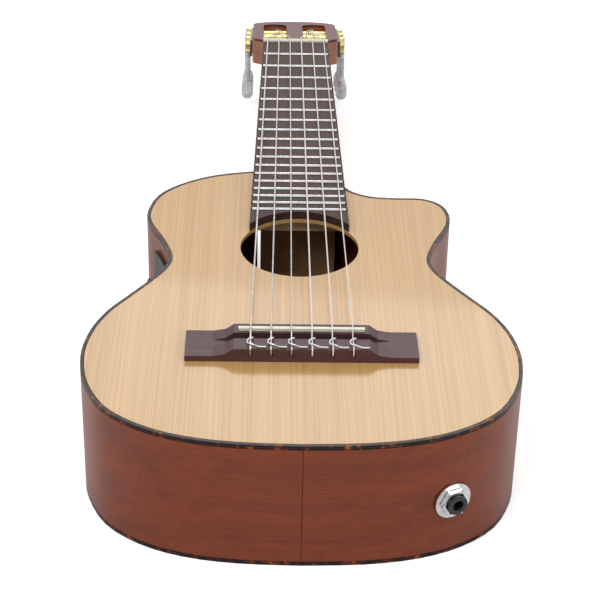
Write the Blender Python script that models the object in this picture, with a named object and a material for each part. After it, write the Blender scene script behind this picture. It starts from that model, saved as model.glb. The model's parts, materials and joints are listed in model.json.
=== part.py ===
"""A small six-string travel guitar with a cutaway body and a slotted head, lying on its flat back.

X runs across the body towards the treble side, Y from the tail to the head, Z up out of the soundboard.
The origin is in the middle of the outer box, on the surface that the back rests on.
"""

import math

import bmesh
import bpy
from mathutils import Euler, Vector

MM = 0.001
GAP = 0.3 * MM

# Strings and fretboard
SCALE_LENGTH = 433 * MM
FRETS = 18
NUT_WIDTH = 50.5 * MM
BOARD_TAPER = 0.0221
BOARD_THICK = 5.2 * MM
FRET_HEIGHT = 1.0 * MM
FRET_WIDTH = 2.2 * MM
NUT_THICK = 4.7 * MM
NUT_HEIGHT = 6.7 * MM
NUT_SPREAD = 43.6 * MM
SADDLE_SPREAD = 58.4 * MM
STRING_RADII = [0.55 * MM, 0.48 * MM, 0.42 * MM, 0.5 * MM, 0.46 * MM, 0.4 * MM]
WIND_TURNS = 2.5
WIND_CLEARANCE = 0.45 * MM

# Body
BODY_DEPTH = 80 * MM
BODY_START = 214 * MM
TAIL = 536.5 * MM
PLATE_THICK = 2.5 * MM
SIDE_THICK = 2.0 * MM
BINDING_WIDTH = 2.0 * MM
LINING_WIDTH = 5 * MM
LINING_HEIGHT = 7 * MM
BLOCK_HALF = 25 * MM
NECK_BLOCK_LENGTH = 34 * MM
TAIL_BLOCK_LENGTH = 17 * MM
HOLE_CENTRE = 320 * MM
HOLE_RADIUS = 37.3 * MM
BRACE_WIDTH = 6 * MM
BRACE_HEIGHT = 9 * MM
FAN_SPACING = 36 * MM
BRIDGE_PLATE_THICK = 2.5 * MM

# Bridge
BRIDGE_HALF = 66.5 * MM
TIE_HALF = 38.7 * MM
BRIDGE_START = 427 * MM
BRIDGE_END = 454.5 * MM
WING_HEIGHT = 3.4 * MM
BRIDGE_HEIGHT = 8.2 * MM
SADDLE_THICK = 2.6 * MM
SADDLE_TOP = 9.8 * MM
SLOT_DEPTH = 5.2 * MM
PICKUP_THICK = 1.0 * MM
TROUGH_START = 436.9 * MM
TROUGH_END = 443 * MM
TIE_HOLE_HEIGHT = 4.5 * MM
TIE_HOLE_RADIUS = 1.2 * MM

# Neck and head
NECK_DEPTH = 20 * MM
HEEL_DEPTH = 72 * MM
HEAD_ANGLE = math.radians(15)
HEAD_LENGTH = 124 * MM
HEAD_CORNER = 104 * MM
HEAD_HALF = 34 * MM
HEAD_THICK = 18 * MM
VENEER_THICK = 1.5 * MM
HEAD_DROP = 2.5 * MM
HEAD_SET = 1.4 * MM
SLOT_INNER = 6.5 * MM
SLOT_OUTER = 25.5 * MM
SLOT_FRONT = 13 * MM
SLOT_BACK = 103 * MM

# Tuning machines
ROLLER_FIRST = 36 * MM
ROLLER_PITCH = 27 * MM
ROLLER_DEPTH = 8 * MM
ROLLER_RADIUS = 4.2 * MM
AXLE_RADIUS = 2.5 * MM
PIN_RADIUS = 1.3 * MM
PLATE_SHEET = 1.5 * MM
GEAR_RADIUS = 6.5 * MM
GEAR_THICK = 2.5 * MM
WORM_RADIUS = 2.2 * MM
WORM_TOP = 3 * MM
WORM_LENGTH = 35 * MM
BUTTON_LENGTH = 15 * MM
BUTTON_HALF = 4.6 * MM

# Preamplifier and output socket
PANEL_START = 297 * MM
PANEL_END = 361 * MM
PANEL_LOW = 30 * MM
PANEL_HIGH = 68 * MM
PANEL_THICK = 1.7 * MM
HOUSING_MARGIN = 6 * MM
HOUSING_DEPTH = 26 * MM
KNOB_RADIUS = 4.5 * MM
KNOB_LENGTH = 4 * MM
KNOB_FIRST = 19 * MM
KNOB_PITCH = 14 * MM
KNOB_SHAFT = 1.5 * MM
SHAFT_REACH = 10 * MM
DRAWER_WIDTH = 9 * MM
DRAWER_HEIGHT = 17 * MM
JACK_ALONG = 86 * MM
JACK_HEIGHT = 36 * MM
JACK_THREAD = 5.8 * MM
JACK_BORE = 3.3 * MM
JACK_BARREL = 9 * MM
LEAD_RADIUS = 1.2 * MM

HEAD_REACH = NUT_THICK + HEAD_SET + HEAD_LENGTH * math.cos(HEAD_ANGLE)
NUT_Y = (TAIL - HEAD_REACH) / 2
TOP = BODY_DEPTH
NECK_TOP = TOP
BOARD_BOTTOM = TOP + GAP
BOARD_TOP = BOARD_BOTTOM + BOARD_THICK
UNDER_TOP = TOP - PLATE_THICK - GAP
OVER_BACK = PLATE_THICK + GAP
PIVOT = Vector((0, NUT_Y + NUT_THICK + HEAD_SET, TOP + NUT_HEIGHT - HEAD_DROP))

TREBLE_POINTS = [
    (27.5, 214), (28.5, 227), (34, 241), (47.5, 249.5), (65, 251.5), (82, 252), (93.5, 260),
    (98, 274), (96.5, 290), (87.5, 312), (81.5, 333), (83.5, 347), (90.5, 361), (103.5, 382),
    (114, 399), (121.5, 418), (125.2, 438), (125.2, 456), (121.5, 477), (110, 501), (90, 518.5),
    (65, 529.5), (35, 535), (0, 536.5),
]
BASS_POINTS = [
    (-35, 535), (-65, 529.5), (-90, 518.5), (-110, 501), (-121.5, 477), (-125.2, 456), (-125.2, 438),
    (-121.5, 418), (-114, 399), (-103.5, 382), (-90.5, 361), (-83.5, 347), (-81.5, 333), (-87.5, 312),
    (-96.5, 290), (-98.3, 274), (-93, 252), (-80, 235.5), (-61, 223), (-43, 217), (-27.5, 214),
]

COLOURS = {
    "spruce": (0.77, 0.5, 0.22, 1), "mahogany": (0.3, 0.09, 0.04, 1), "rosewood": (0.09, 0.035, 0.03, 1),
    "shell": (0.05, 0.012, 0.006, 1), "bone": (0.87, 0.84, 0.68, 1), "black": (0.01, 0.01, 0.011, 1),
    "gold": (0.62, 0.5, 0.2, 1), "pearl": (0.7, 0.71, 0.74, 1), "nylon": (0.85, 0.85, 0.82, 1),
    "steel": (0.6, 0.6, 0.62, 1), "wine": (0.15, 0.02, 0.025, 1),
}
METALS = ("gold", "steel")


def clear_scene():
    for obj in list(bpy.data.objects):
        bpy.data.objects.remove(obj, do_unlink=True)


def finish(obj, colour, smooth_angle=None):
    """Gives the object a material of its own."""
    material = bpy.data.materials.new(obj.name + "_material")
    material.use_nodes = True
    shader = material.node_tree.nodes["Principled BSDF"]
    shader.inputs["Base Color"].default_value = COLOURS[colour]
    shader.inputs["Roughness"].default_value = 0.35
    shader.inputs["Metallic"].default_value = 1.0 if colour in METALS else 0.0
    obj.data.materials.append(material)
    if smooth_angle is not None:
        obj.data.shade_smooth()
        obj.data.set_sharp_from_angle(angle=math.radians(smooth_angle))
    return obj


def add_mesh(name, bm):
    bmesh.ops.recalc_face_normals(bm, faces=bm.faces)
    mesh = bpy.data.meshes.new(name)
    bm.to_mesh(mesh)
    bm.free()
    obj = bpy.data.objects.new(name, mesh)
    bpy.context.scene.collection.objects.link(obj)
    return obj


def prism(name, outline, low, high, place=lambda a, b, c: (a, b, c)):
    """A closed outline extruded from low to high. place turns outline and height into a point."""
    bm = bmesh.new()
    bottom = [bm.verts.new(place(a, b, low)) for a, b in outline]
    top = [bm.verts.new(place(a, b, high)) for a, b in outline]
    bm.faces.new(bottom)
    bm.faces.new(top)
    for i in range(len(outline)):
        j = (i + 1) % len(outline)
        bm.faces.new((bottom[i], bottom[j], top[j], top[i]))
    return add_mesh(name, bm)


def ring(name, outer, inner, low, high):
    """A band between two outlines of as many points each."""
    bm = bmesh.new()
    loops = [[bm.verts.new((x, y, z)) for x, y in line] for line, z in
             ((outer, low), (outer, high), (inner, high), (inner, low))]
    for k in range(4):
        first, second = loops[k], loops[(k + 1) % 4]
        for i in range(len(outer)):
            j = (i + 1) % len(outer)
            bm.faces.new((first[i], first[j], second[j], second[i]))
    return add_mesh(name, bm)


def box(name, low, high):
    outline = [(low[0], low[1]), (high[0], low[1]), (high[0], high[1]), (low[0], high[1])]
    return prism(name, outline, low[2], high[2])


def turned(name, profile, steps=20):
    """A solid of revolution about local Z. profile holds (radius, height) from one end to the other."""
    bm = bmesh.new()
    rings = []
    for radius, height in profile:
        if radius == 0:
            rings.append([bm.verts.new((0, 0, height))])
            continue
        angles = [2 * math.pi * i / steps for i in range(steps)]
        rings.append([bm.verts.new((radius * math.cos(a), radius * math.sin(a), height)) for a in angles])
    for first, second in zip(rings, rings[1:]):
        for i in range(steps):
            j = (i + 1) % steps
            corners = [first[i % len(first)], first[j % len(first)], second[j % len(second)], second[i % len(second)]]
            bm.faces.new(list(dict.fromkeys(corners)))
    for end in (rings[0], rings[-1]):
        if len(end) > 1:
            bm.faces.new(end)
    return add_mesh(name, bm)


def hide_cutter(cutter):
    cutter.hide_render = True
    cutter.display_type = "WIRE"


def boolean(obj, other, operation):
    modifier = obj.modifiers.new(operation.lower() + "_" + other.name, "BOOLEAN")
    modifier.operation = operation
    modifier.object = other
    hide_cutter(other)


def along(distance):
    """The Y of a place this far from the nut towards the tail."""
    return NUT_Y - distance


def head_place(x, u, w):
    """A point on the head: u from the nut along the head's face, w up out of the face."""
    return (
        PIVOT.x + x,
        PIVOT.y + u * math.cos(HEAD_ANGLE) + w * math.sin(HEAD_ANGLE),
        PIVOT.z - u * math.sin(HEAD_ANGLE) + w * math.cos(HEAD_ANGLE),
    )


def smooth_line(points, steps=4):
    """A smooth line through the points, open at its ends."""
    ends = [points[0]] + points + [points[-1]]
    line = []
    for p0, p1, p2, p3 in zip(ends, ends[1:], ends[2:], ends[3:]):
        for k in range(steps):
            t = k / steps
            line.append(tuple(
                0.5 * (2 * b + (c - a) * t + (2 * a - 5 * b + 4 * c - d) * t**2 + (3 * b - a - 3 * c + d) * t**3)
                for a, b, c, d in zip(p0, p1, p2, p3)
            ))
    line.append(points[-1])
    return line


def body_line(points):
    return smooth_line([(x * MM, along(s * MM)) for x, s in points], 3)


def offset(line, distance, closed=False):
    """The line moved to its left by this distance, with mitred corners."""
    moved = []
    count = len(line)
    for i, point in enumerate(line):
        before = line[i - 1] if closed or i else None
        after = line[(i + 1) % count] if closed or i < count - 1 else None
        normals = []
        for a, b in ((before, point), (point, after)):
            if a and b:
                way = Vector((b[0] - a[0], b[1] - a[1])).normalized()
                normals.append(Vector((-way.y, way.x)))
        total = normals[0] + normals[-1]
        scale = distance * 2 / total.length_squared
        moved.append((point[0] + total.x * scale, point[1] + total.y * scale))
    return moved


def clipped(line, keep):
    return [point for point in line if keep(point)]


TREBLE_LINE = body_line(TREBLE_POINTS)
BASS_LINE = body_line([TREBLE_POINTS[-1]] + BASS_POINTS)
BODY_LOOP = TREBLE_LINE + BASS_LINE[1:]


def inward(line, distance, closed=False):
    """The loop runs from the head round the treble side to the tail, so the inside is on its right."""
    return offset(line, -distance, closed)


def strip(name, line, near, far, low, high):
    """A wall that follows the line between two distances inside it."""
    return prism(name, inward(line, near) + inward(line, far)[::-1], low, high)


def board_half(distance):
    return NUT_WIDTH / 2 + BOARD_TAPER * distance


def fret_place(number):
    return SCALE_LENGTH * (1 - 2 ** (-number / 12))


def add_plates():
    inside = inward(BODY_LOOP, BINDING_WIDTH + GAP, closed=True)
    soundboard = prism("soundboard", inside, TOP - PLATE_THICK, TOP)
    hole = turned("soundhole_cut", [(HOLE_RADIUS, UNDER_TOP - PLATE_THICK), (HOLE_RADIUS, TOP + PLATE_THICK)], 40)
    hole.location = (0, along(HOLE_CENTRE), 0)
    boolean(soundboard, hole, "DIFFERENCE")
    finish(soundboard, "spruce")
    finish(prism("back", inside, 0, PLATE_THICK), "mahogany")
    rim = inward(BODY_LOOP, BINDING_WIDTH, closed=True)
    finish(ring("binding_top", BODY_LOOP, rim, TOP - PLATE_THICK, TOP), "shell", 40)
    finish(ring("binding_back", BODY_LOOP, rim, 0, PLATE_THICK), "shell", 40)


def add_sides():
    half_gap = GAP / 2
    treble = clipped(TREBLE_LINE[:-1], lambda p: True) + [(half_gap, TREBLE_LINE[-1][1])]
    bass = [(-half_gap, BASS_LINE[0][1])] + BASS_LINE[1:]
    sides = {}
    for name, line in (("side_treble", treble), ("side_bass", bass)):
        sides[name] = finish(strip(name, line, 0, SIDE_THICK, OVER_BACK, UNDER_TOP), "mahogany", 40)
    cut_y = (along(PANEL_END - HOUSING_MARGIN), along(PANEL_START + HOUSING_MARGIN))
    window = box(
        "panel_cut",
        (-TAIL, cut_y[0], PANEL_LOW + HOUSING_MARGIN),
        (-HOLE_RADIUS, cut_y[1], PANEL_HIGH - HOUSING_MARGIN),
    )
    boolean(sides["side_bass"], window, "DIFFERENCE")
    hole = turned("jack_cut", [(JACK_THREAD + 0.8 * MM, -20 * MM), (JACK_THREAD + 0.8 * MM, 20 * MM)], 20)
    place_on_jack(hole, 0)
    boolean(sides["side_treble"], hole, "DIFFERENCE")


def add_linings():
    reach = BLOCK_HALF + 4 * MM
    tail_side = along(TAIL - 60 * MM)
    treble = clipped(TREBLE_LINE, lambda p: p[0] > reach + 20 * MM or (p[0] > reach and p[1] < tail_side))
    bass = clipped(BASS_LINE, lambda p: p[0] < -reach)
    near, far = SIDE_THICK + GAP, SIDE_THICK + GAP + LINING_WIDTH
    for side, line in (("treble", treble), ("bass", bass)):
        strip_top = strip("lining_top_" + side, line, near, far, UNDER_TOP - LINING_HEIGHT, UNDER_TOP)
        strip_back = strip("lining_back_" + side, line, near, far, OVER_BACK, OVER_BACK + LINING_HEIGHT)
        finish(strip_top, "mahogany")
        finish(strip_back, "mahogany")


def add_blocks():
    start = BODY_START + SIDE_THICK + 2 * GAP
    finish(box(
        "neck_block",
        (-BLOCK_HALF, along(start + NECK_BLOCK_LENGTH), OVER_BACK),
        (BLOCK_HALF, along(start), UNDER_TOP),
    ), "mahogany")
    end = TAIL - SIDE_THICK - 1.3 * MM
    finish(box(
        "tail_block", (-BLOCK_HALF, along(end), OVER_BACK), (BLOCK_HALF, along(end - TAIL_BLOCK_LENGTH), UNDER_TOP)
    ), "mahogany")


def cross_brace(name, distance, half, low, high):
    y = along(distance)
    finish(box(name, (-half, y - BRACE_WIDTH / 2, low), (half, y + BRACE_WIDTH / 2, high)), "spruce")


def add_braces():
    low = UNDER_TOP - BRACE_HEIGHT
    cross_brace("brace_above_hole", HOLE_CENTRE - HOLE_RADIUS - 9 * MM, 84 * MM, low, UNDER_TOP)
    cross_brace("brace_below_hole", HOLE_CENTRE + HOLE_RADIUS + 9 * MM, 79 * MM, low, UNDER_TOP)
    for number, (distance, half) in enumerate(((284 * MM, 82 * MM), (371 * MM, 84 * MM), (452 * MM, 112 * MM))):
        cross_brace(f"back_brace_{number + 1}", distance, half, OVER_BACK, OVER_BACK + BRACE_HEIGHT)
    plate_start, plate_end = BRIDGE_START - 2 * MM, BRIDGE_END + 6 * MM
    plate_low = UNDER_TOP - BRIDGE_PLATE_THICK
    finish(box(
        "bridge_plate", (-BRIDGE_HALF, along(plate_end), plate_low), (BRIDGE_HALF, along(plate_start), UNDER_TOP)
    ), "mahogany")
    notch = plate_low - GAP
    fan_low = notch - 5 * MM
    start, end = HOLE_CENTRE + HOLE_RADIUS + 13 * MM, TAIL - 28 * MM
    profile = [
        (start, UNDER_TOP), (plate_start - GAP, UNDER_TOP), (plate_start - GAP, notch), (plate_end + GAP, notch),
        (plate_end + GAP, UNDER_TOP), (end, UNDER_TOP), (end - 15 * MM, fan_low), (start + 10 * MM, fan_low),
    ]
    for number in range(3):
        x = (number - 1) * FAN_SPACING
        finish(prism(
            f"fan_brace_{number + 1}", profile, x - BRACE_WIDTH / 2, x + BRACE_WIDTH / 2,
            lambda s, z, across: (across, along(s), z),
        ), "spruce")


def neck_section(distance, depth, count=12):
    half = board_half(max(distance, 0))
    angles = [math.pi * i / count for i in range(count + 1)]
    return [(half * math.cos(a), along(distance), NECK_TOP - depth * math.sin(a) ** 0.9) for a in angles]


def neck_shaft(name):
    """A D-shaped shaft that deepens into the heel."""
    stations = [
        (-11 * MM, NECK_DEPTH * 0.8), (0, NECK_DEPTH), (90 * MM, NECK_DEPTH + 1 * MM), (178 * MM, NECK_DEPTH + 2 * MM),
        (190 * MM, NECK_DEPTH + 7 * MM), (200 * MM, HEEL_DEPTH * 0.55), (208 * MM, HEEL_DEPTH * 0.85),
        (BODY_START - GAP, HEEL_DEPTH),
    ]
    bm = bmesh.new()
    rows = [[bm.verts.new(p) for p in neck_section(*station)] for station in stations]
    for first, second in zip(rows, rows[1:]):
        for i in range(len(first)):
            j = (i + 1) % len(first)
            bm.faces.new((first[i], first[j], second[j], second[i]))
    bm.faces.new(rows[0])
    bm.faces.new(rows[-1])
    return add_mesh(name, bm)


def head_outline():
    shoulder = [(NUT_WIDTH / 2, 0), (NUT_WIDTH / 2 + 1 * MM, 5 * MM), (HEAD_HALF - 2 * MM, 12 * MM), (HEAD_HALF, 19 * MM)]
    crown = []
    for i in range(9):
        angle = math.pi * i / 8
        rise = (HEAD_LENGTH - HEAD_CORNER) * math.sin(angle)
        crown.append((HEAD_HALF * math.cos(angle), HEAD_CORNER + rise))
    return shoulder + crown + [(-x, u) for x, u in reversed(shoulder)]


def slot_cutter(name, side):
    inner, outer, front, back = SLOT_INNER, SLOT_OUTER, SLOT_FRONT, SLOT_BACK
    radius = (outer - inner) / 2
    middle = (inner + outer) / 2
    outline = []
    for i in range(9):
        angle = math.pi * i / 8
        outline.append((middle + radius * math.cos(angle), back - radius + radius * math.sin(angle)))
    outline += [(inner, front), (outer, front)]
    return prism(name, [(side * x, u) for x, u in outline], -HEAD_THICK - 10 * MM, 5 * MM, head_place)


def add_neck():
    neck = neck_shaft("neck")
    slab_top = -VENEER_THICK - GAP
    slab = prism("head_slab", head_outline(), slab_top - HEAD_THICK, slab_top, head_place)
    boolean(neck, slab, "UNION")
    tenon = box(
        "neck_tenon",
        (-20 * MM, along(BODY_START + SIDE_THICK + GAP), NECK_TOP - HEEL_DEPTH * 0.85),
        (20 * MM, along(BODY_START - 6 * MM), UNDER_TOP - 1 * MM),
    )
    boolean(neck, tenon, "UNION")
    veneer = prism("head_veneer", head_outline(), -VENEER_THICK, 0, head_place)
    for side, word in ((-1, "bass"), (1, "treble")):
        slot = slot_cutter("slot_cut_" + word, side)
        boolean(neck, slot, "DIFFERENCE")
        boolean(veneer, slot, "DIFFERENCE")
        for number in range(3):
            for reach, radius, part in ((HEAD_HALF + 4 * MM, AXLE_RADIUS + 0.5 * MM, "axle"),):
                bore = turned(
                    f"{part}_cut_{word}_{number}", [(radius, SLOT_OUTER - 1 * MM), (radius, reach)], 16
                )
                place_on_roller(bore, side, number)
                boolean(neck, bore, "DIFFERENCE")
            seat = turned(
                f"pin_cut_{word}_{number}",
                [(PIN_RADIUS + 0.4 * MM, SLOT_INNER - 4 * MM), (PIN_RADIUS + 0.4 * MM, SLOT_INNER + 1 * MM)], 12,
            )
            place_on_roller(seat, side, number)
            boolean(neck, seat, "DIFFERENCE")
    finish(neck, "mahogany", 35)
    finish(veneer, "wine")


def add_fretboard():
    end = HOLE_CENTRE - HOLE_RADIUS * 0.55
    profile = [(0, BOARD_BOTTOM), (0, BOARD_TOP)]
    for number in range(1, FRETS + 1):
        place = fret_place(number)
        crown = BOARD_TOP + FRET_HEIGHT
        profile += [
            (place - FRET_WIDTH / 2, BOARD_TOP), (place - FRET_WIDTH / 4, crown),
            (place + FRET_WIDTH / 4, crown), (place + FRET_WIDTH / 2, BOARD_TOP),
        ]
    profile += [(end, BOARD_TOP), (end, BOARD_BOTTOM)]
    board = prism("fretboard", profile, -1, 1, lambda s, z, side: (side * board_half(s), along(s), z))
    arc = turned("board_end_cut", [(HOLE_RADIUS + 0.2 * MM, TOP), (HOLE_RADIUS + 0.2 * MM, BOARD_TOP + 9 * MM)], 40)
    arc.location = (0, along(HOLE_CENTRE), -1 * MM)
    boolean(board, arc, "DIFFERENCE")
    finish(board, "rosewood")
    half = NUT_WIDTH / 2
    finish(box(
        "nut", (-half, NUT_Y + GAP, BOARD_BOTTOM), (half, NUT_Y + NUT_THICK, TOP + NUT_HEIGHT)
    ), "bone")


def add_bridge():
    base = TOP + GAP
    wing, high = base + WING_HEIGHT, base + BRIDGE_HEIGHT
    half = [(BRIDGE_HALF, base), (BRIDGE_HALF, wing), (TIE_HALF + 12 * MM, wing)]
    half += [(TIE_HALF + 5 * MM, wing + 1.2 * MM), (TIE_HALF, high)]
    profile = half + [(-x, z) for x, z in reversed(half)]
    bridge = prism("bridge", profile, BRIDGE_START, BRIDGE_END, lambda x, z, s: (x, along(s), z))
    saddle_y = along(SCALE_LENGTH + 0.4 * MM)
    slot_half = SADDLE_THICK / 2 + GAP
    saddle_half = TIE_HALF - 2.4 * MM
    slot_floor = high - SLOT_DEPTH
    boolean(bridge, box(
        "saddle_cut", (-saddle_half - GAP, saddle_y - slot_half, slot_floor),
        (saddle_half + GAP, saddle_y + slot_half, high + 1 * MM),
    ), "DIFFERENCE")
    boolean(bridge, box(
        "trough_cut", (-BRIDGE_HALF, along(TROUGH_END), wing), (BRIDGE_HALF, along(TROUGH_START), high + 1 * MM)
    ), "DIFFERENCE")
    for number in range(6):
        bore = turned(
            f"tie_cut_{number}", [(TIE_HOLE_RADIUS, TROUGH_END - 2 * MM), (TIE_HOLE_RADIUS, BRIDGE_END + 2 * MM)], 8
        )
        bore.rotation_euler = (math.pi / 2, 0, 0)
        bore.location = (saddle_x(number), NUT_Y, base + TIE_HOLE_HEIGHT)
        boolean(bridge, bore, "DIFFERENCE")
    finish(bridge, "rosewood")
    half_thick = SADDLE_THICK / 2
    strip_low = slot_floor + GAP
    finish(box(
        "pickup_strip", (-saddle_half, saddle_y - half_thick, strip_low),
        (saddle_half, saddle_y + half_thick, strip_low + PICKUP_THICK),
    ), "steel")
    finish(box(
        "saddle", (-saddle_half, saddle_y - half_thick, strip_low + PICKUP_THICK + GAP),
        (saddle_half, saddle_y + half_thick, base + SADDLE_TOP),
    ), "bone")


def nut_x(number):
    return NUT_SPREAD * (number / 5 - 0.5)


def saddle_x(number):
    return SADDLE_SPREAD * (number / 5 - 0.5)


def roller_of(number):
    """The side and place along the slot of this string's roller. The outer strings take the near rollers."""
    return (-1, number) if number < 3 else (1, 5 - number)


def roller_distance(place):
    return ROLLER_FIRST + place * ROLLER_PITCH


def place_on_roller(obj, side, place):
    """Puts an object turned about local Z on a roller's axis, with its height running outwards."""
    obj.rotation_euler = Euler((0, side * math.pi / 2, 0))
    obj.location = head_place(0, roller_distance(place), -ROLLER_DEPTH)


def string_route(number):
    radius = STRING_RADII[number]
    side, place = roller_of(number)
    wind = ROLLER_RADIUS + WIND_CLEARANCE + radius
    u0 = roller_distance(place)
    pitch = 2 * radius + 0.6 * MM
    start_x = side * (SLOT_OUTER - 5.5 * MM - place * 4 * MM)
    steps = round(24 * WIND_TURNS)
    route = []
    for i in range(steps + 1):
        angle = 2 * math.pi * (steps - i) / 24
        x = start_x + side * pitch * (steps - i) / 24
        route.append(head_place(
            x, u0 + wind * math.sin(angle), -ROLLER_DEPTH + wind * math.cos(angle)
        ))
    nut_high = TOP + NUT_HEIGHT + GAP + radius
    saddle_high = TOP + GAP + SADDLE_TOP + GAP + radius
    start, end = nut_x(number), saddle_x(number)
    base = TOP + GAP
    hole, over = base + TIE_HOLE_HEIGHT, base + BRIDGE_HEIGHT + GAP + radius
    behind = BRIDGE_END + GAP + radius
    route += [
        (start, NUT_Y + NUT_THICK, nut_high), (start, NUT_Y, nut_high),
        (end, along(SCALE_LENGTH - 1 * MM), saddle_high), (end, along(SCALE_LENGTH + 2 * MM), saddle_high),
        (end, along(TROUGH_START + 0.6 * MM), over + 0.9 * MM), (end, along(TROUGH_END - 2 * MM), hole + 0.5 * MM),
        (end, along(TROUGH_END), hole), (end, along(behind - 0.4 * MM), hole),
        (end, along(behind), hole + 0.6 * MM), (end, along(behind), over - 0.5 * MM),
        (end, along(behind - 0.5 * MM), over), (end, along(TROUGH_END + 2 * MM), over),
    ]
    return route


def least_turn_gap(number):
    """The least gap between two turns of a string's winding."""
    points = [Vector(p) for p in string_route(number)[: round(24 * WIND_TURNS) + 1]]
    return min((points[i] - points[i + 24]).length for i in range(len(points) - 24)) - 2 * STRING_RADII[number]


def tube(name, route, radius, resolution=1):
    curve = bpy.data.curves.new(name, "CURVE")
    curve.dimensions = "3D"
    curve.bevel_depth = radius
    curve.bevel_resolution = resolution
    curve.use_fill_caps = True
    spline = curve.splines.new("POLY")
    spline.points.add(len(route) - 1)
    for point, place in zip(spline.points, route):
        point.co = (*place, 1)
    obj = bpy.data.objects.new(name, curve)
    bpy.context.scene.collection.objects.link(obj)
    return obj


def add_strings():
    for number in range(6):
        string = tube(f"string_{6 - number}", string_route(number), STRING_RADII[number])
        finish(string, "steel" if number < 3 else "nylon")
        print(string.name, "least gap between turns, mm:", round(least_turn_gap(number) / MM, 2))


def tuner_x():
    return HEAD_HALF + GAP + PLATE_SHEET + GAP


def add_tuners():
    plate_low, plate_high = -ROLLER_DEPTH - GEAR_RADIUS - 1 * MM, -WORM_TOP
    for side, word in ((-1, "bass"), (1, "treble")):
        inner = HEAD_HALF + GAP
        outline = [
            (SLOT_FRONT + 8 * MM, plate_low), (HEAD_CORNER, plate_low),
            (HEAD_CORNER, plate_high), (SLOT_FRONT + 8 * MM, plate_high),
        ]
        plate = prism(
            "machine_plate_" + word, outline, side * inner, side * (inner + PLATE_SHEET),
            lambda u, w, x: head_place(x, u, w),
        )
        for number in range(3):
            radius = AXLE_RADIUS + 0.4 * MM
            bore = turned(f"plate_cut_{word}_{number}", [(radius, inner - 1 * MM), (radius, inner + 3 * MM)], 16)
            place_on_roller(bore, side, number)
            boolean(plate, bore, "DIFFERENCE")
            add_tuner(side, number, word)
        finish(plate, "black")


def add_tuner(side, place, word):
    gear_in = tuner_x()
    gear_out = gear_in + GEAR_THICK
    string_number = 6 - (place if side < 0 else 5 - place)
    roller = turned(f"roller_{string_number}", [
        (PIN_RADIUS, SLOT_INNER - 3 * MM), (PIN_RADIUS, SLOT_INNER + GAP), (ROLLER_RADIUS, SLOT_INNER + GAP),
        (ROLLER_RADIUS, SLOT_OUTER - GAP), (AXLE_RADIUS, SLOT_OUTER - GAP), (AXLE_RADIUS, gear_in),
        (GEAR_RADIUS, gear_in), (GEAR_RADIUS, gear_out), (AXLE_RADIUS, gear_out), (AXLE_RADIUS, gear_out + 1 * MM),
    ], 16)
    place_on_roller(roller, side, place)
    finish(roller, "gold", 35)
    worm_end = WORM_TOP + WORM_LENGTH
    low, tip = -worm_end, -worm_end - BUTTON_LENGTH
    button = turned(f"tuner_button_{string_number}", [
        (WORM_RADIUS, -WORM_TOP), (WORM_RADIUS, low), (BUTTON_HALF * 0.75, low - 1 * MM),
        (BUTTON_HALF, low - 5 * MM), (BUTTON_HALF, tip + 3 * MM), (BUTTON_HALF * 0.6, tip),
    ], 16)
    button.rotation_euler = Euler((-HEAD_ANGLE, 0, 0))
    u = roller_distance(place) + GEAR_RADIUS + WORM_RADIUS + GAP
    button.location = head_place(side * (tuner_x() + WORM_RADIUS), u, 0)
    finish(button, "pearl", 35)


def panel_line(start, end):
    return clipped(BASS_LINE, lambda p: along(end) <= p[1] <= along(start))


def waist_x():
    return max(p[0] for p in panel_line(PANEL_START, PANEL_END))


def add_preamp():
    line = panel_line(PANEL_START, PANEL_END)
    outer = offset(line, GAP + PANEL_THICK)
    inner = offset(line, GAP)
    housing = prism("preamp_housing", outer + inner[::-1], PANEL_LOW, PANEL_HIGH)
    margin = HOUSING_MARGIN + 1 * MM
    part = panel_line(PANEL_START + margin, PANEL_END - margin)
    skin = offset(part, GAP + PANEL_THICK / 2)
    deep = waist_x() + HOUSING_DEPTH
    outline = skin + [(deep, skin[-1][1]), (deep, skin[0][1])]
    case = prism("housing_case", outline, PANEL_LOW + margin, PANEL_HIGH - margin)
    boolean(housing, case, "UNION")
    middle = (PANEL_LOW + PANEL_HIGH) / 2
    drawer_y = along(PANEL_END - margin - 2 * MM)
    clear = 0.5 * MM
    far = waist_x() - 14 * MM
    drawer_in = deep - 6 * MM
    pocket = box(
        "drawer_cut", (far - 20 * MM, drawer_y, middle - DRAWER_HEIGHT / 2),
        (drawer_in, drawer_y + DRAWER_WIDTH, middle + DRAWER_HEIGHT / 2),
    )
    boolean(housing, pocket, "DIFFERENCE")
    for number in range(2):
        bore = [(KNOB_SHAFT + GAP, -SHAFT_REACH - GAP), (KNOB_SHAFT + GAP, KNOB_LENGTH)]
        boolean(housing, place_on_panel(turned(f"shaft_cut_{number}", bore, 20), number), "DIFFERENCE")
    finish(housing, "black", 35)
    finish(box(
        "battery_drawer", (far, drawer_y + clear, middle - DRAWER_HEIGHT / 2 + clear),
        (drawer_in - clear, drawer_y + DRAWER_WIDTH - clear, middle + DRAWER_HEIGHT / 2 - clear),
    ), "black")
    for number, word in enumerate(("volume", "tone")):
        knob = turned(word + "_knob", [
            (KNOB_SHAFT, -SHAFT_REACH), (KNOB_SHAFT, 0), (KNOB_RADIUS, 0),
            (KNOB_RADIUS, KNOB_LENGTH - 1 * MM), (KNOB_RADIUS - 1 * MM, KNOB_LENGTH),
        ], 20)
        finish(place_on_panel(knob, number), "black", 35)


def place_on_panel(obj, number):
    """Turns a solid's local Z out of the panel, with its origin at the foot of a knob."""
    obj.rotation_euler = Euler((0, -math.pi / 2, 0))
    obj.location = (knob_x(number), knob_y(number), (PANEL_LOW + PANEL_HIGH) / 2)
    return obj


def knob_distance(number):
    return PANEL_START + KNOB_FIRST + number * KNOB_PITCH


def knob_y(number):
    return along(knob_distance(number))


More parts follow.
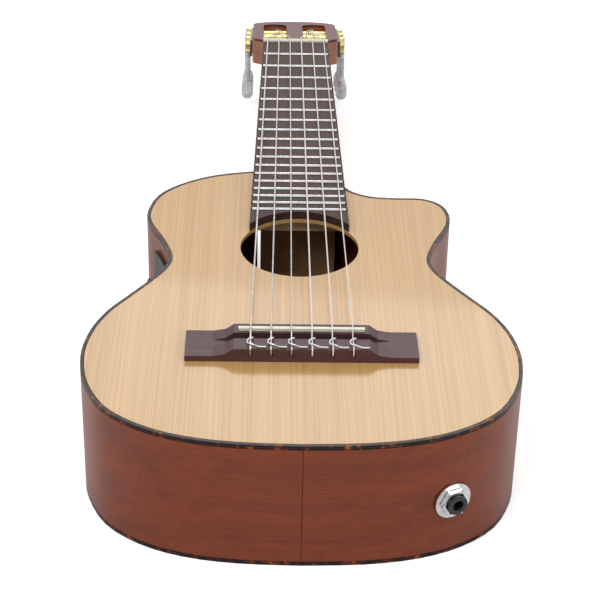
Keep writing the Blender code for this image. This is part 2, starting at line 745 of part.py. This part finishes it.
def knob_x(number):
    """The foot of a knob, clear of the panel where it curves out beside it."""
    reach = KNOB_RADIUS + 7 * MM
    near = panel_line(knob_distance(number) - reach, knob_distance(number) + reach)
    return min(p[0] for p in offset(near, GAP + PANEL_THICK)) - GAP


def jack_point():
    """The place of the output socket on the treble side's outer line, and the way out of the body."""
    tail = clipped(TREBLE_LINE, lambda p: p[1] < along(TAIL - 60 * MM))
    index = min(range(1, len(tail) - 1), key=lambda i: abs(tail[i][0] - JACK_ALONG))
    way = Vector((tail[index + 1][0] - tail[index - 1][0], tail[index + 1][1] - tail[index - 1][1])).normalized()
    return Vector((*tail[index], JACK_HEIGHT)), Vector((-way.y, way.x, 0))


def place_on_jack(obj, distance):
    point, out = jack_point()
    obj.rotation_euler = out.to_track_quat("Z", "Y").to_euler()
    obj.location = point + out * distance


def hollow(name, outer_radius, inner_radius, low, high, steps):
    bm = bmesh.new()
    loops = []
    for radius, z, count in ((outer_radius, low, steps), (outer_radius, high, steps), (inner_radius, high, steps), (inner_radius, low, steps)):
        angles = [2 * math.pi * i / count for i in range(count)]
        loops.append([bm.verts.new((radius * math.cos(a), radius * math.sin(a), z)) for a in angles])
    for k in range(4):
        first, second = loops[k], loops[(k + 1) % 4]
        for i in range(steps):
            j = (i + 1) % steps
            bm.faces.new((first[i], first[j], second[j], second[i]))
    return add_mesh(name, bm)


def add_jack():
    washer_top = GAP + 1 * MM
    nut_top = washer_top + GAP + 3 * MM
    washer = hollow("jack_washer", 11 * MM, JACK_THREAD + GAP, GAP, washer_top, 24)
    nut = hollow("jack_nut", 8.6 * MM, JACK_THREAD / math.cos(math.pi / 6) + GAP, washer_top + GAP, nut_top, 6)
    inside = -SIDE_THICK - 1.2 * MM
    socket = turned("jack_socket", [
        (JACK_BORE, nut_top + 2 * MM), (JACK_THREAD, nut_top + 2 * MM), (JACK_THREAD, inside), (JACK_BARREL, inside),
        (JACK_BARREL, inside - 20 * MM), (0, inside - 20 * MM),
    ], 20)
    bore = turned("jack_bore_cut", [(JACK_BORE, nut_top + 4 * MM), (JACK_BORE, inside - 16 * MM)], 16)
    boolean(socket, bore, "DIFFERENCE")
    for piece in (washer, nut, socket, bore):
        place_on_jack(piece, 0)
    finish(washer, "steel")
    finish(nut, "steel")
    finish(socket, "black", 35)


def add_leads():
    """The leads lie along the inside of the body, from the strip and the socket to the housing."""
    margin = HOUSING_MARGIN + 1 * MM
    deep = waist_x() + HOUSING_DEPTH
    port_z = (PANEL_LOW + PANEL_HIGH) / 2 - 8 * MM
    port = (deep + GAP, along((PANEL_START + PANEL_END) / 2), port_z)
    point, out = jack_point()
    end = point - out * (SIDE_THICK + 1.2 * MM + 20 * MM + GAP)
    low = OVER_BACK + BRACE_HEIGHT + 4.5 * MM
    route = smooth_line([
        port, (port[0] + 3 * MM, port[1], port_z), (port[0] + 8 * MM, port[1], port_z),
        (port[0] + 16 * MM, port[1] - 30 * MM, low + 3 * MM),
        (-30 * MM, along(430 * MM), low), (20 * MM, along(475 * MM), low),
        tuple(end - out * 12 * MM), tuple(end - out * 4 * MM), tuple(end),
    ], 5)
    finish(tube("jack_lead", route, LEAD_RADIUS, 2), "black")
    under = UNDER_TOP - BRIDGE_PLATE_THICK - LEAD_RADIUS - 1 * MM
    second = (deep + GAP, along((PANEL_START + PANEL_END) / 2 + 8 * MM), port_z + 14 * MM)
    route = smooth_line([
        second, (second[0] + 3 * MM, second[1], second[2]), (second[0] + 8 * MM, second[1], second[2]),
        (second[0] + 16 * MM, second[1] - 40 * MM, under - 10 * MM),
        (-24 * MM, along(SCALE_LENGTH - 6 * MM), under - 3 * MM), (-20 * MM, along(SCALE_LENGTH), under),
    ], 5)
    finish(tube("pickup_lead", route, LEAD_RADIUS, 2), "black")


def build():
    clear_scene()
    add_plates()
    add_sides()
    add_linings()
    add_blocks()
    add_braces()
    add_neck()
    add_fretboard()
    add_bridge()
    add_tuners()
    add_strings()
    add_preamp()
    add_jack()
    add_leads()


build()
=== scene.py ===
import json
import math

import bmesh
import bpy
from mathutils import Matrix, Vector

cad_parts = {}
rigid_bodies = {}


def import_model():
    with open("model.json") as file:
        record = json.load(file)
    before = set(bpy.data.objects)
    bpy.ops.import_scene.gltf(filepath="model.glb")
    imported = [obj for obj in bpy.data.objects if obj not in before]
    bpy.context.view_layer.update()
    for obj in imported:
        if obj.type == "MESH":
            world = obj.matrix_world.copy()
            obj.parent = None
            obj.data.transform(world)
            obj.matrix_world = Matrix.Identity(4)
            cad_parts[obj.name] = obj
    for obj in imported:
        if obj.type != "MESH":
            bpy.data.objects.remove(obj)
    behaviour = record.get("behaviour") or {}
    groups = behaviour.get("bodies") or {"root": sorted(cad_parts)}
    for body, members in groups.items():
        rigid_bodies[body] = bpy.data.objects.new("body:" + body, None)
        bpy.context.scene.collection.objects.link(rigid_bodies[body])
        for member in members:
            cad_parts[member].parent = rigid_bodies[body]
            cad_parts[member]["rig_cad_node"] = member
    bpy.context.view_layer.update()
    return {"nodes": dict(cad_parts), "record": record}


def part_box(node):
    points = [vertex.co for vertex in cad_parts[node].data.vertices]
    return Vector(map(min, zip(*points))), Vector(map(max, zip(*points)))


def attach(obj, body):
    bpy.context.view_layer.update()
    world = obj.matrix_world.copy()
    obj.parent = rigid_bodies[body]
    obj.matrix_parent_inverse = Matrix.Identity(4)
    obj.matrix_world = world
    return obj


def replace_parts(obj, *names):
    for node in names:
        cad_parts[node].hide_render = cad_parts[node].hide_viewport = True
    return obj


bl_info = {
    "name": "Guitalele Looks",
    "version": (1, 0, 0),
    "blender": (4, 5, 0),
    "location": "View3D > Sidebar > Guitalele",
    "description": "Finishes, frets, string knots, gear teeth, lights and camera for the guitalele",
    "category": "Object",
}

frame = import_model()

MM = 0.001
BODY = "guitar"
STRING_NUMBERS = range(1, 7)
SMOOTHED = ("side_treble", "side_bass", "binding_top", "binding_back", "neck")


class GuitaleleSizes(bpy.types.PropertyGroup):
    scale_length: bpy.props.FloatProperty(
        name="Scale length", description="Nut to saddle", default=0.433, unit="LENGTH"
    )
    fret_count: bpy.props.IntProperty(name="Frets", description="Frets on the board", default=18)
    fret_width: bpy.props.FloatProperty(
        name="Fret width", description="Width of the fret wire's crown", default=0.002, unit="LENGTH"
    )
    fret_rise: bpy.props.FloatProperty(
        name="Fret rise", description="Height of the crown over the board", default=0.00115, unit="LENGTH"
    )
    fret_inset: bpy.props.FloatProperty(
        name="Fret inset", description="From a fret's end to the board's edge", default=0.0009, unit="LENGTH"
    )
    knot_radius: bpy.props.FloatProperty(
        name="Knot string radius", description="Radius of the tied string ends", default=0.00048, unit="LENGTH"
    )
    gear_teeth: bpy.props.IntProperty(name="Gear teeth", description="Teeth on each gear", default=14)
    tooth_depth: bpy.props.FloatProperty(
        name="Tooth depth", description="Depth of a gear tooth", default=0.0011, unit="LENGTH"
    )


class GuitaleleColours(bpy.types.PropertyGroup):
    spruce: bpy.props.FloatVectorProperty(
        name="Spruce", description="Soundboard", subtype="COLOR", default=(0.7, 0.43, 0.17)
    )
    spruce_dark: bpy.props.FloatVectorProperty(
        name="Spruce grain", description="Winter growth lines", subtype="COLOR", default=(0.55, 0.3, 0.1)
    )
    mahogany: bpy.props.FloatVectorProperty(
        name="Mahogany", description="Sides and back", subtype="COLOR", default=(0.28, 0.05, 0.008)
    )
    mahogany_dark: bpy.props.FloatVectorProperty(
        name="Mahogany grain", description="Dark streaks", subtype="COLOR", default=(0.1, 0.018, 0.01)
    )
    rosewood: bpy.props.FloatVectorProperty(
        name="Rosewood", description="Fretboard", subtype="COLOR", default=(0.085, 0.042, 0.028)
    )
    bridge: bpy.props.FloatVectorProperty(
        name="Bridge wood", description="Bridge", subtype="COLOR", default=(0.12, 0.055, 0.06)
    )
    bone: bpy.props.FloatVectorProperty(
        name="Bone", description="Nut and saddle", subtype="COLOR", default=(0.86, 0.84, 0.7)
    )
    gold: bpy.props.FloatVectorProperty(
        name="Gold", description="Gears", subtype="COLOR", default=(0.72, 0.58, 0.25)
    )
    pearl: bpy.props.FloatVectorProperty(
        name="Pearl", description="Tuner buttons", subtype="COLOR", default=(0.72, 0.73, 0.77)
    )


class GuitaleleView(bpy.types.PropertyGroup):
    eye: bpy.props.FloatVectorProperty(
        name="Eye", description="Camera place", subtype="TRANSLATION", default=(-0.0196, -1.1084, 0.6309)
    )
    pitch: bpy.props.FloatProperty(
        name="Pitch", description="Below the horizon", subtype="ANGLE", default=math.radians(30.538)
    )
    yaw: bpy.props.FloatProperty(
        name="Yaw", description="Towards the treble side", subtype="ANGLE", default=math.radians(1.0)
    )
    roll: bpy.props.FloatProperty(
        name="Roll", description="About the line of sight", subtype="ANGLE", default=math.radians(1.121)
    )
    lens: bpy.props.FloatProperty(name="Lens", description="Focal length in mm", default=109.8)
    light: bpy.props.FloatProperty(name="Key light", description="Power of the key light in watts", default=13.0)


class Value:
    """A shader socket with arithmetic."""

    def __init__(self, tree, socket):
        self.tree = tree
        self.socket = socket

    def math(self, operation, other=0.0, clamp=False):
        node = self.tree.nodes.new("ShaderNodeMath")
        node.operation = operation
        node.use_clamp = clamp
        self.tree.links.new(self.socket, node.inputs[0])
        feed(self.tree, node.inputs[1], other)
        return Value(self.tree, node.outputs[0])

    def __add__(self, other):
        return self.math("ADD", other)

    def __sub__(self, other):
        return self.math("SUBTRACT", other)

    def __mul__(self, other):
        return self.math("MULTIPLY", other)

    def __pow__(self, other):
        return self.math("POWER", other)

    def above(self, edge, soft):
        """0 under the edge, 1 past it, over a soft step."""
        return (self - edge).math("DIVIDE", soft, clamp=True)


def feed(tree, socket, value):
    if isinstance(value, Value):
        tree.links.new(value.socket, socket)
    else:
        socket.default_value = value


def rgba(colour):
    return (*tuple(colour)[:3], 1.0)


class Finish:
    """A procedural material on Object coordinates."""

    def __init__(self, name):
        self.material = bpy.data.materials.new(name)
        self.material.use_nodes = True
        self.tree = self.material.node_tree
        self.shader = self.tree.nodes["Principled BSDF"]

    def add(self, kind, output, inputs, **settings):
        node = self.tree.nodes.new(kind)
        for key, value in settings.items():
            setattr(node, key, value)
        for key, value in inputs.items():
            feed(self.tree, node.inputs[key], value)
        return Value(self.tree, node.outputs[output])

    def place(self, scale):
        coordinates = self.add("ShaderNodeTexCoord", "Object", {})
        return self.add("ShaderNodeMapping", "Vector", {"Vector": coordinates, "Scale": scale})

    def noise(self, scale, detail=3.0, rough=0.55):
        return self.add("ShaderNodeTexNoise", "Fac", {
            "Vector": self.place(scale), "Scale": 1.0, "Detail": detail, "Roughness": rough,
        })

    def spots(self, scale):
        return self.add("ShaderNodeTexVoronoi", "Distance", {"Vector": self.place(scale), "Scale": 1.0})

    def blend(self, factor, first, second):
        node = self.tree.nodes.new("ShaderNodeMix")
        node.data_type = "RGBA"
        feed(self.tree, node.inputs["Factor"], factor)
        feed(self.tree, node.inputs[6], first if isinstance(first, Value) else rgba(first))
        feed(self.tree, node.inputs[7], second if isinstance(second, Value) else rgba(second))
        return Value(self.tree, node.outputs[2])

    def surface(self, colour, rough, metal=0.0, coat=0.0):
        feed(self.tree, self.shader.inputs["Base Color"], colour if isinstance(colour, Value) else rgba(colour))
        feed(self.tree, self.shader.inputs["Roughness"], rough)
        self.shader.inputs["Metallic"].default_value = metal
        self.shader.inputs["Coat Weight"].default_value = coat
        self.shader.inputs["Coat Roughness"].default_value = 0.06

    def bump(self, height, depth, strength=0.5):
        normal = self.add("ShaderNodeBump", "Normal", {"Height": height, "Distance": depth, "Strength": strength})
        feed(self.tree, self.shader.inputs["Normal"], normal)


def spruce_finish(name, colours):
    """Straight grain along the strings, with paler and darker bands and faint cross silk."""
    finish = Finish(name)
    lines = finish.noise((1500, 5, 5), 2.0)
    bands = finish.noise((160, 2, 2), 2.0)
    silk = finish.noise((90, 700, 90), 2.0)
    grain = lines.above(0.42, 0.2) * 0.55 + bands.above(0.35, 0.4) * 0.35 + silk * 0.12
    finish.surface(finish.blend(grain, colours.spruce, colours.spruce_dark), lines * 0.12 + 0.3, coat=0.25)
    finish.bump(lines, 0.00004)
    return finish.material


def wood_finish(name, light, dark, along, rough, coat):
    """Streaks and open pores that run along one axis."""
    finish = Finish(name)
    fine = tuple(9 if axis == along else 800 for axis in range(3))
    wide = tuple(4 if axis == along else 70 for axis in range(3))
    pores = tuple(70 if axis == along else 2600 for axis in range(3))
    streak = finish.noise(fine, 4.0)
    figure = finish.noise(wide, 3.0)
    pore = finish.noise(pores, 1.0).above(0.62, 0.06)
    amount = streak.above(0.3, 0.5) * 0.45 + figure.above(0.3, 0.45) * 0.45 + pore * 0.35
    finish.surface(finish.blend(amount, light, dark), streak * 0.12 + rough, coat=coat)
    finish.shader.inputs["Specular IOR Level"].default_value = 0.3
    finish.bump(pore * -1.0 + streak, 0.00005)
    return finish.material


def mahogany_finish(name, colours):
    return wood_finish(name, colours.mahogany, colours.mahogany_dark, 0, 0.28, 0.12)


def neck_finish(name, colours):
    return wood_finish(name, (0.4, 0.13, 0.05), (0.2, 0.05, 0.02), 1, 0.32, 0.15)


def veneer_finish(name, colours):
    return wood_finish(name, (0.15, 0.016, 0.02), (0.05, 0.006, 0.008), 1, 0.34, 0.1)


def rosewood_finish(name, colours):
    return wood_finish(name, colours.rosewood, (0.03, 0.014, 0.011), 1, 0.5, 0.0)


def bridge_finish(name, colours):
    return wood_finish(name, colours.bridge, (0.045, 0.018, 0.02), 0, 0.36, 0.0)


def lining_finish(name, colours):
    return wood_finish(name, (0.5, 0.3, 0.15), (0.3, 0.15, 0.07), 1, 0.55, 0.0)


def brace_finish(name, colours):
    return wood_finish(name, (0.7, 0.48, 0.26), (0.5, 0.3, 0.14), 0, 0.55, 0.0)


def shell_finish(name, colours):
    """Tortoise plastic: near black with orange and red clouds."""
    finish = Finish(name)
    clouds = finish.noise((160, 160, 160), 3.0, 0.65)
    sparks = finish.noise((420, 420, 420), 2.0)
    warm = finish.blend(sparks.above(0.45, 0.2), (0.12, 0.015, 0.006), (0.42, 0.12, 0.02))
    finish.surface(finish.blend(clouds.above(0.52, 0.12), (0.012, 0.004, 0.003), warm), clouds * 0.08 + 0.3)
    finish.shader.inputs["Specular IOR Level"].default_value = 0.25
    return finish.material


def bone_finish(name, colours):
    finish = Finish(name)
    cloud = finish.noise((240, 240, 240), 3.0)
    finish.surface(finish.blend(cloud.above(0.4, 0.5), colours.bone, (0.78, 0.73, 0.55)), cloud * 0.15 + 0.25)
    finish.bump(finish.noise((2500, 2500, 2500), 1.0), 0.00002)
    return finish.material


def plastic_finish(name, colours):
    """Moulded black plastic with a fine spark-eroded skin."""
    finish = Finish(name)
    skin = finish.noise((2200, 2200, 2200), 2.0)
    cloud = finish.noise((80, 80, 80), 2.0)
    finish.surface(finish.blend(cloud, (0.012, 0.012, 0.014), (0.024, 0.024, 0.027)), skin * 0.2 + 0.3)
    finish.bump(skin, 0.00003)
    return finish.material


def black_metal_finish(name, colours):
    finish = Finish(name)
    skin = finish.noise((900, 900, 900), 2.0)
    finish.surface(finish.blend(skin, (0.01, 0.01, 0.011), (0.03, 0.03, 0.032)), skin * 0.15 + 0.18, coat=0.4)
    finish.bump(skin, 0.00002)
    return finish.material


def metal_finish(name, bright, dull, scale, rough):
    """Polished metal with fine lines and light tarnish."""
    finish = Finish(name)
    lines = finish.noise(scale, 2.0)
    cloud = finish.noise((200, 200, 200), 3.0)
    finish.surface(finish.blend(cloud.above(0.45, 0.4), bright, dull), lines * 0.15 + rough, metal=1.0)
    finish.bump(lines, 0.00001)
    return finish.material


def gold_finish(name, colours):
    return metal_finish(name, colours.gold, (0.5, 0.36, 0.12), (3000, 400, 400), 0.2)


def steel_finish(name, colours):
    return metal_finish(name, (0.74, 0.74, 0.76), (0.5, 0.49, 0.47), (400, 3000, 400), 0.16)


def pearl_finish(name, colours):
    """Mother-of-pearl plastic with drifting pale clouds."""
    finish = Finish(name)
    drift = finish.noise((130, 130, 260), 4.0, 0.6)
    cool = finish.blend(drift.above(0.4, 0.2), (0.52, 0.55, 0.62), colours.pearl)
    finish.surface(finish.blend(drift.above(0.55, 0.15), cool, (0.86, 0.85, 0.82)), drift * 0.1 + 0.14, coat=0.5)
    return finish.material


def nylon_finish(name, colours):
    finish = Finish(name)
    cloud = finish.noise((300, 60, 300), 2.0)
    finish.surface(finish.blend(cloud, (0.8, 0.8, 0.77), (0.92, 0.92, 0.9)), cloud * 0.1 + 0.2, coat=0.2)
    return finish.material


def wound_finish(name, colours):
    """Silvered wire wound close on a core: fine rings along the string, with painted shade in the grooves between
    them.
    """
    finish = Finish(name)
    rings = finish.noise((20, 5200, 20), 0.0)
    # The ring noise also sets the colour: the low grooves take the darker silver as painted shade, and the raised
    # crowns take the paler silver.
    finish.surface(finish.blend(rings.above(0.35, 0.3), (0.42, 0.41, 0.4), (0.82, 0.81, 0.79)), rings * 0.15 + 0.22, metal=1.0)
    finish.bump(rings, 0.00006)
    return finish.material


SLOT_FINISHES = {
    "spruce": spruce_finish, "mahogany": mahogany_finish, "neck_wood": neck_finish, "veneer": veneer_finish,
    "rosewood": rosewood_finish, "bridge_wood": bridge_finish, "lining": lining_finish, "brace": brace_finish,
    "shell": shell_finish, "bone": bone_finish, "black_plastic": plastic_finish, "black_metal": black_metal_finish,
    "gold": gold_finish, "pearl": pearl_finish, "nylon": nylon_finish, "wound": wound_finish, "steel": steel_finish,
}


def material_of(slot):
    found = bpy.data.materials.get("look_" + slot)
    return found or SLOT_FINISHES[slot]("look_" + slot, bpy.context.scene.guitalele_colours)


def add_piece(name, mesh_or_curve, slot, body):
    obj = bpy.data.objects.new(name, mesh_or_curve)
    bpy.context.scene.collection.objects.link(obj)
    mesh_or_curve.materials.append(material_of(slot))
    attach(obj, body)
    return obj


class GUITALELE_OT_finishes(bpy.types.Operator):
    """Give every node of the frame its finish"""

    bl_idname = "guitalele.finishes"
    bl_label = "Finish the nodes"

    def execute(self, context):
        for entry in frame["record"]["subparts"]:
            obj = frame["nodes"][entry["node"]]
            material = material_of(entry["material_slot"])
            for slot in obj.material_slots:
                slot.material = material
        return {"FINISHED"}


class GUITALELE_OT_smooth(bpy.types.Operator):
    """Lay evenly shaded faces over the bent sides, bindings and neck"""

    bl_idname = "guitalele.smooth"
    bl_label = "Smooth the bent pieces"

    def execute(self, context):
        for node in SMOOTHED:
            source = frame["nodes"][node]
            bm = bmesh.new()
            bm.from_mesh(source.data)
            bm.transform(source.matrix_world)
            bmesh.ops.remove_doubles(bm, verts=bm.verts, dist=0.01 * MM)
            mesh = bpy.data.meshes.new(node + "_smooth")
            bm.to_mesh(mesh)
            bm.free()
            custom = mesh.attributes.get("custom_normal")
            if custom:
                mesh.attributes.remove(custom)
            mesh.shade_smooth()
            mesh.set_sharp_from_angle(angle=math.radians(40))
            slot = next(e["material_slot"] for e in frame["record"]["subparts"] if e["node"] == node)
            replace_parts(add_piece(node + "_smooth", mesh, slot, BODY), node)
        return {"FINISHED"}


def fret_mesh(name, centre_y, half, board_top, sizes):
    """A crowned wire across the board with rounded ends."""
    steps, stations = 8, 9
    bm = bmesh.new()
    rows = []
    for k in range(stations):
        side = -math.cos(math.pi * k / (stations - 1))
        x = half * math.copysign(abs(side) ** 0.12, side) if abs(side) > 1e-6 else 0.0
        drop = 1.0 if 0 < k < stations - 1 else 0.45
        row = []
        for i in range(steps + 1):
            angle = math.pi * i / steps
            y = centre_y + sizes.fret_width / 2 * math.cos(angle) * drop
            row.append(bm.verts.new((x, y, board_top + sizes.fret_rise * math.sin(angle) * drop)))
        rows.append(row)
    for first, second in zip(rows, rows[1:]):
        for i in range(steps + 1):
            j = (i + 1) % (steps + 1)
            bm.faces.new((first[i], first[j], second[j], second[i]))
    bm.faces.new(rows[0])
    bm.faces.new(rows[-1])
    bmesh.ops.recalc_face_normals(bm, faces=bm.faces)
    mesh = bpy.data.meshes.new(name)
    bm.to_mesh(mesh)
    bm.free()
    mesh.shade_smooth()
    mesh.set_sharp_from_angle(angle=math.radians(50))
    return mesh


class GUITALELE_OT_frets(bpy.types.Operator):
    """Lay the metal frets over the board's ridges"""

    bl_idname = "guitalele.frets"
    bl_label = "Lay the frets"

    def execute(self, context):
        sizes = context.scene.guitalele_sizes
        low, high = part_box("fretboard")
        nut_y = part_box("nut")[0].y
        nut_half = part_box("nut")[1].x
        board_top = high.z - 1.0 * MM
        taper = (high.x - nut_half) / (high.y - low.y)
        for number in range(1, sizes.fret_count + 1):
            distance = sizes.scale_length * (1 - 2 ** (-number / 12))
            half = nut_half + taper * distance - sizes.fret_inset
            mesh = fret_mesh(f"fret_{number:02d}", nut_y - 0.3 * MM - distance, half, board_top, sizes)
            add_piece(f"fret_{number:02d}", mesh, "steel", BODY)
        return {"FINISHED"}


def tube_curve(name, points, radius):
    curve = bpy.data.curves.new(name, "CURVE")
    curve.dimensions = "3D"
    curve.bevel_depth = radius
    curve.bevel_resolution = 3
    curve.resolution_u = 6
    curve.use_fill_caps = True
    spline = curve.splines.new("BEZIER")
    spline.bezier_points.add(len(points) - 1)
    for point, place in zip(spline.bezier_points, points):
        point.co = place
        point.handle_left_type = "AUTO"
        point.handle_right_type = "AUTO"
    return curve


class GUITALELE_OT_knots(bpy.types.Operator):
    """Tie each string's end over the tie block and tuck it under its neighbour"""

    bl_idname = "guitalele.knots"
    bl_label = "Tie the string ends"

    def execute(self, context):
        sizes = context.scene.guitalele_sizes
        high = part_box("bridge")[1]
        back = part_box("bridge")[0].y
        for number in STRING_NUMBERS:
            low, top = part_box(f"string_{number}")
            end_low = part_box("saddle")[0].x
            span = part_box("saddle")[1].x - end_low
            x = (6 - number - 2.5) * 11.68 * MM
            r = sizes.knot_radius
            over = high.z + r + 1.3 * MM
            route = [
                (x + 0.9 * MM, back + 11.4 * MM, over - 1.0 * MM), (x + 1.4 * MM, back + 9.5 * MM, over),
                (x - 1.2 * MM, back + 7.5 * MM, over + 0.3 * MM), (x - 1.6 * MM, back + 4.5 * MM, over - 0.2 * MM),
                (x + 1.0 * MM, back + 2.6 * MM, over), (x + 4.5 * MM, back + 1.8 * MM, high.z + r + 0.3 * MM),
                (x + min(9.0 * MM, span), back + 1.6 * MM, high.z + r + 0.2 * MM),
            ]
            slot = "wound" if number > 3 else "nylon"
            add_piece(f"knot_{number}", tube_curve(f"knot_{number}", route, r), slot, BODY)
        return {"FINISHED"}


def gear_mesh(name, low, high, sizes):
    """A toothed rim round a gear, seated in the gear's own thickness."""
    centre_y, centre_z = (low.y + high.y) / 2, (low.z + high.z) / 2
    radius = (high.y - low.y) / 2
    outer = abs(low.x) > abs(high.x)
    face_out = low.x if outer else high.x
    side = -1 if outer else 1
    x0 = face_out - side * 3.3 * MM
    x1 = face_out - side * 0.6 * MM
    steps = sizes.gear_teeth * 4
    bm = bmesh.new()
    loops = []
    for x, grow in ((x0, 0.0), (x1, 0.0)):
        loop = []
        for i in range(steps):
            angle = 2 * math.pi * i / steps
            tip = sizes.tooth_depth * (0.35 if i % 4 in (0, 1) else -0.65)
            r = radius + tip + grow
            loop.append(bm.verts.new((x, centre_y + r * math.cos(angle), centre_z + r * math.sin(angle))))
        loops.append(loop)
    for i in range(steps):
        j = (i + 1) % steps
        bm.faces.new((loops[0][i], loops[0][j], loops[1][j], loops[1][i]))
    bm.faces.new(loops[0])
    bm.faces.new(loops[1])
    bmesh.ops.recalc_face_normals(bm, faces=bm.faces)
    mesh = bpy.data.meshes.new(name)
    bm.to_mesh(mesh)
    bm.free()
    return mesh


class GUITALELE_OT_gears(bpy.types.Operator):
    """Cut teeth on the tuner gears"""

    bl_idname = "guitalele.gears"
    bl_label = "Cut the gear teeth"

    def execute(self, context):
        sizes = context.scene.guitalele_sizes
        for number in STRING_NUMBERS:
            low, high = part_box(f"roller_{number}")
            mesh = gear_mesh(f"gear_teeth_{number}", low, high, sizes)
            add_piece(f"gear_teeth_{number}", mesh, "gold", f"roller_{number}_body")
        return {"FINISHED"}


def add_light(name, place, target, size, power):
    light = bpy.data.lights.new(name, "AREA")
    light.shape = "RECTANGLE"
    light.size, light.size_y = size
    light.energy = power
    obj = bpy.data.objects.new(name, light)
    bpy.context.scene.collection.objects.link(obj)
    obj.location = place
    obj.rotation_euler = (Vector(target) - Vector(place)).to_track_quat("-Z", "Y").to_euler()


def add_world():
    """White to the eye and pale to everything else."""
    world = bpy.data.worlds.new("studio")
    world.use_nodes = True
    bpy.context.scene.world = world
    tree = world.node_tree
    background = tree.nodes["Background"]
    path = tree.nodes.new("ShaderNodeLightPath")
    seen = Value(tree, path.outputs["Is Camera Ray"]) + Value(tree, path.outputs["Is Glossy Ray"])
    seen = seen + Value(tree, path.outputs["Is Transmission Ray"])
    feed(tree, background.inputs["Strength"], seen.math("MINIMUM", 1.0) * 0.65 + 0.35)
    background.inputs["Color"].default_value = (1.0, 1.0, 1.0, 1.0)


def add_floor():
    bm = bmesh.new()
    bmesh.ops.create_grid(bm, x_segments=1, y_segments=1, size=6.0)
    bmesh.ops.translate(bm, verts=bm.verts, vec=(0, 0, -0.3 * MM))
    mesh = bpy.data.meshes.new("floor")
    bm.to_mesh(mesh)
    bm.free()
    floor = bpy.data.objects.new("floor", mesh)
    bpy.context.scene.collection.objects.link(floor)
    finish = Finish("floor_paper")
    cloud = finish.noise((8, 8, 8), 2.0)
    finish.surface(finish.blend(cloud, (0.96, 0.96, 0.96), (0.99, 0.99, 0.99)), 0.9)
    seen = finish.add("ShaderNodeLightPath", "Is Camera Ray", {})
    feed(finish.tree, finish.shader.inputs["Emission Color"], finish.blend(seen, (0, 0, 0), (0.5, 0.5, 0.5)))
    finish.shader.inputs["Emission Strength"].default_value = 1.0
    mesh.materials.append(finish.material)


class GUITALELE_OT_stage(bpy.types.Operator):
    """Set the floor, lights, world and camera"""

    bl_idname = "guitalele.stage"
    bl_label = "Set the stage"

    def execute(self, context):
        view = context.scene.guitalele_view
        data = bpy.data.cameras.new("camera")
        data.lens = view.lens
        camera = bpy.data.objects.new("camera", data)
        context.scene.collection.objects.link(camera)
        turn = (
            Matrix.Rotation(-view.yaw, 4, "Z")
            @ Matrix.Rotation(math.pi / 2 - view.pitch, 4, "X")
            @ Matrix.Rotation(view.roll, 4, "Z")
        )
        camera.matrix_world = Matrix.Translation(view.eye) @ turn
        context.scene.camera = camera
        context.scene.view_settings.view_transform = "Standard"
        add_world()
        add_floor()
        add_light("key", (-0.7, -1.0, 1.5), (0, 0, 0), (1.0, 0.7), view.light)
        add_light("fill", (1.2, -0.8, 0.9), (0, -0.1, 0.05), (0.9, 0.9), view.light * 0.4)
        add_light("back", (0.2, 1.4, 1.3), (0, 0.1, 0.05), (1.2, 0.5), view.light * 0.6)
        return {"FINISHED"}


class GUITALELE_PT_panel(bpy.types.Panel):
    """Sizes and colours of the guitalele's looks"""

    bl_idname = "GUITALELE_PT_panel"
    bl_label = "Guitalele"
    bl_space_type = "VIEW_3D"
    bl_region_type = "UI"
    bl_category = "Guitalele"

    def draw(self, context):
        scene = context.scene
        for group in (scene.guitalele_sizes, scene.guitalele_colours, scene.guitalele_view):
            box = self.layout.box()
            for key in group.__annotations__:
                box.prop(group, key)
        for operator in OPERATORS:
            self.layout.operator(operator.bl_idname)


OPERATORS = (
    GUITALELE_OT_finishes, GUITALELE_OT_smooth, GUITALELE_OT_frets, GUITALELE_OT_knots, GUITALELE_OT_gears,
    GUITALELE_OT_stage,
)
GROUPS = {
    "guitalele_sizes": GuitaleleSizes, "guitalele_colours": GuitaleleColours, "guitalele_view": GuitaleleView,
}


def register():
    for group in GROUPS.values():
        bpy.utils.register_class(group)
    for cls in (*OPERATORS, GUITALELE_PT_panel):
        bpy.utils.register_class(cls)
    for name, group in GROUPS.items():
        setattr(bpy.types.Scene, name, bpy.props.PointerProperty(type=group))


def unregister():
    for name in GROUPS:
        delattr(bpy.types.Scene, name)
    for cls in (GUITALELE_PT_panel, *reversed(OPERATORS)):
        bpy.utils.unregister_class(cls)
    for group in GROUPS.values():
        bpy.utils.unregister_class(group)


def clear_start():
    """Removes what a new Blender file starts with."""
    for name in ("Cube", "Light", "Camera"):
        obj = bpy.data.objects.get(name)
        if obj and "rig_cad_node" not in obj:
            bpy.data.objects.remove(obj, do_unlink=True)


def main():
    clear_start()
    register()
    bpy.ops.guitalele.finishes()
    bpy.ops.guitalele.smooth()
    bpy.ops.guitalele.frets()
    bpy.ops.guitalele.knots()
    bpy.ops.guitalele.gears()
    bpy.ops.guitalele.stage()


if __name__ == "__main__":
    main()
